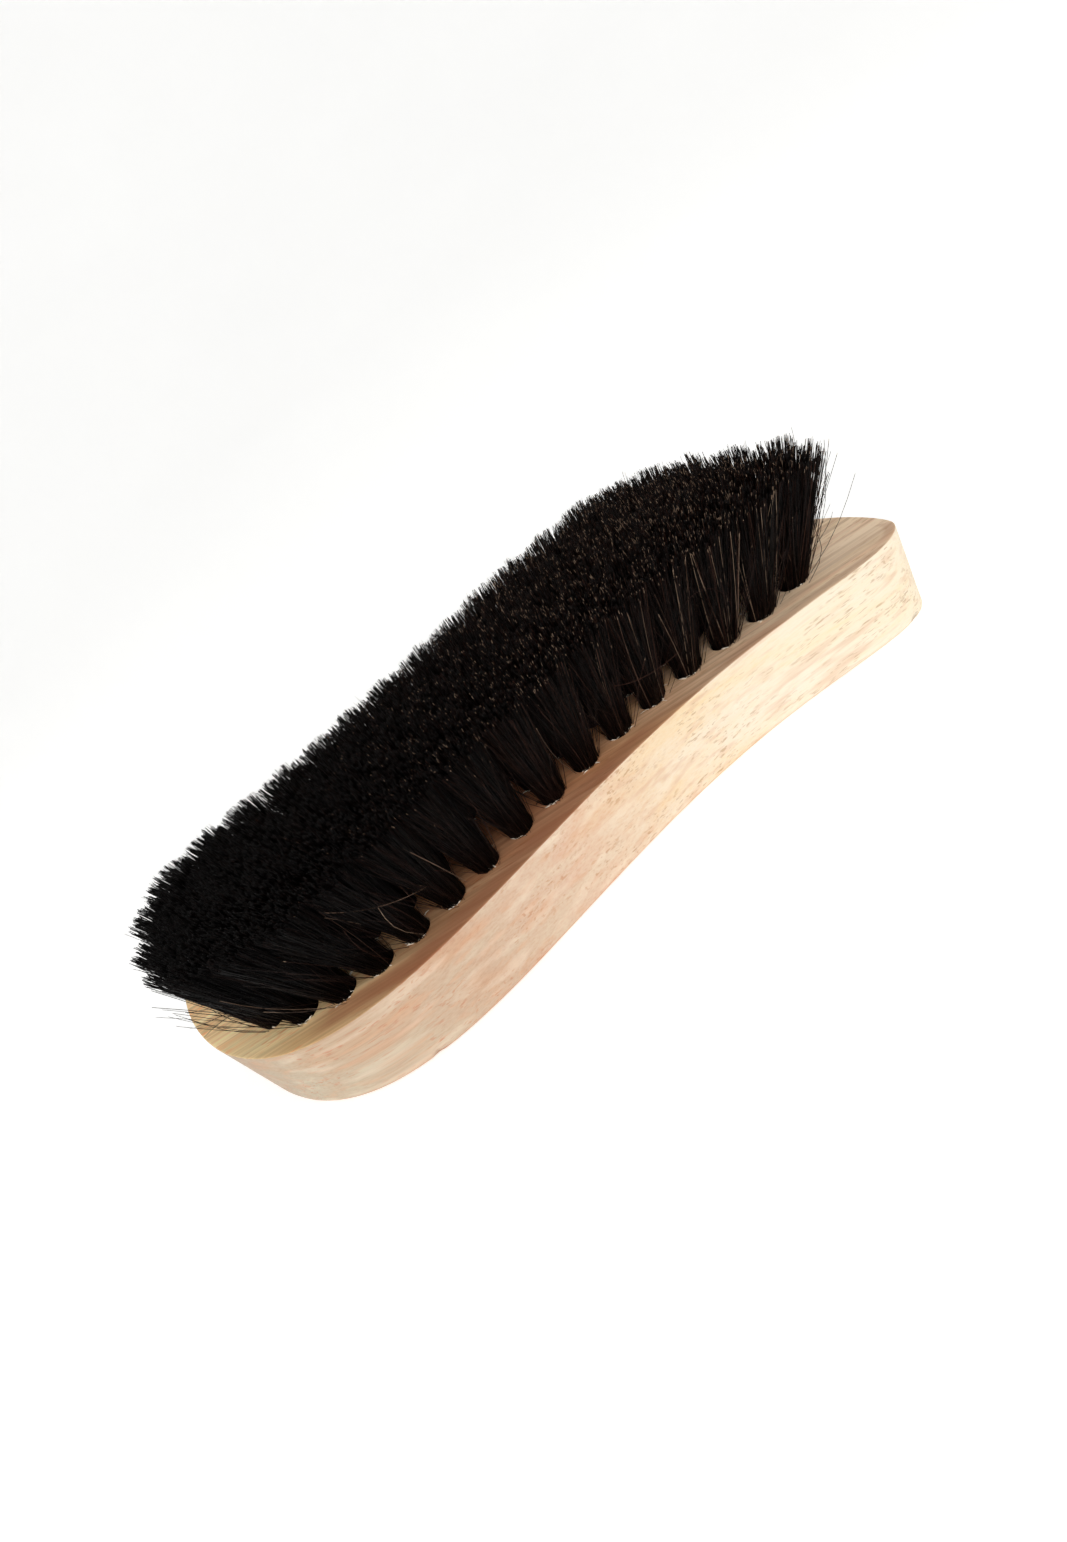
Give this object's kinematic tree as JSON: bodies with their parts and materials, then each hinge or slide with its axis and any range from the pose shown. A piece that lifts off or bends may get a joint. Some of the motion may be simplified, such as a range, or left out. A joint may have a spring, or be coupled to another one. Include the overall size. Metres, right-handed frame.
{
  "type": "clothes brush",
  "caption": "Clothes brush: flat wave-shaped wooden stock with rounded ends, bored on one face and filled with rows of dark horsehair tufts that fan outwards to a flat trim.",
  "frame": {"origin": "middle of the stock's flat back face", "axes": "+X along the brush from end to end, +Z from the back out of the bristle tips, +Y across; the stock's centre line waves to +Y at +X and to -Y at -X"},
  "size_m": [0.18, 0.0786, 0.045],
  "materials": {
    "wood": "bare pale close-grained hardwood, fine sanded, unvarnished",
    "horsehair": "natural black-brown horsehair, slightly glossy, trimmed flat"
  },
  "bodies": {
    "root": {"stock": "wood", "edge_tuft_01": "horsehair", "edge_tuft_02": "horsehair", "edge_tuft_03": "horsehair", "edge_tuft_04": "horsehair", "edge_tuft_05": "horsehair", "edge_tuft_06": "horsehair", "edge_tuft_07": "horsehair", "edge_tuft_08": "horsehair", "edge_tuft_09": "horsehair", "edge_tuft_10": "horsehair", "edge_tuft_11": "horsehair", "edge_tuft_12": "horsehair", "edge_tuft_13": "horsehair", "edge_tuft_14": "horsehair", "edge_tuft_15": "horsehair", "edge_tuft_16": "horsehair", "edge_tuft_17": "horsehair", "edge_tuft_18": "horsehair", "edge_tuft_19": "horsehair", "edge_tuft_20": "horsehair", "edge_tuft_21": "horsehair", "edge_tuft_22": "horsehair", "edge_tuft_23": "horsehair", "edge_tuft_24": "horsehair", "edge_tuft_25": "horsehair", "edge_tuft_26": "horsehair", "edge_tuft_27": "horsehair", "edge_tuft_28": "horsehair", "edge_tuft_29": "horsehair", "edge_tuft_30": "horsehair", "edge_tuft_31": "horsehair", "edge_tuft_32": "horsehair", "edge_tuft_33": "horsehair", "edge_tuft_34": "horsehair", "edge_tuft_35": "horsehair", "edge_tuft_36": "horsehair", "inner_tufts_01": "horsehair", "inner_tufts_02": "horsehair", "inner_tufts_03": "horsehair", "inner_tufts_04": "horsehair", "inner_tufts_05": "horsehair", "inner_tufts_06": "horsehair", "inner_tufts_07": "horsehair", "inner_tufts_08": "horsehair", "inner_tufts_09": "horsehair", "inner_tufts_10": "horsehair", "inner_tufts_11": "horsehair", "inner_tufts_12": "horsehair", "inner_tufts_13": "horsehair", "inner_tufts_14": "horsehair", "inner_tufts_15": "horsehair", "centre_tufts_01": "horsehair", "centre_tufts_02": "horsehair", "centre_tufts_03": "horsehair", "centre_tufts_04": "horsehair", "centre_tufts_05": "horsehair", "centre_tufts_06": "horsehair"}
  },
  "joints": []
}
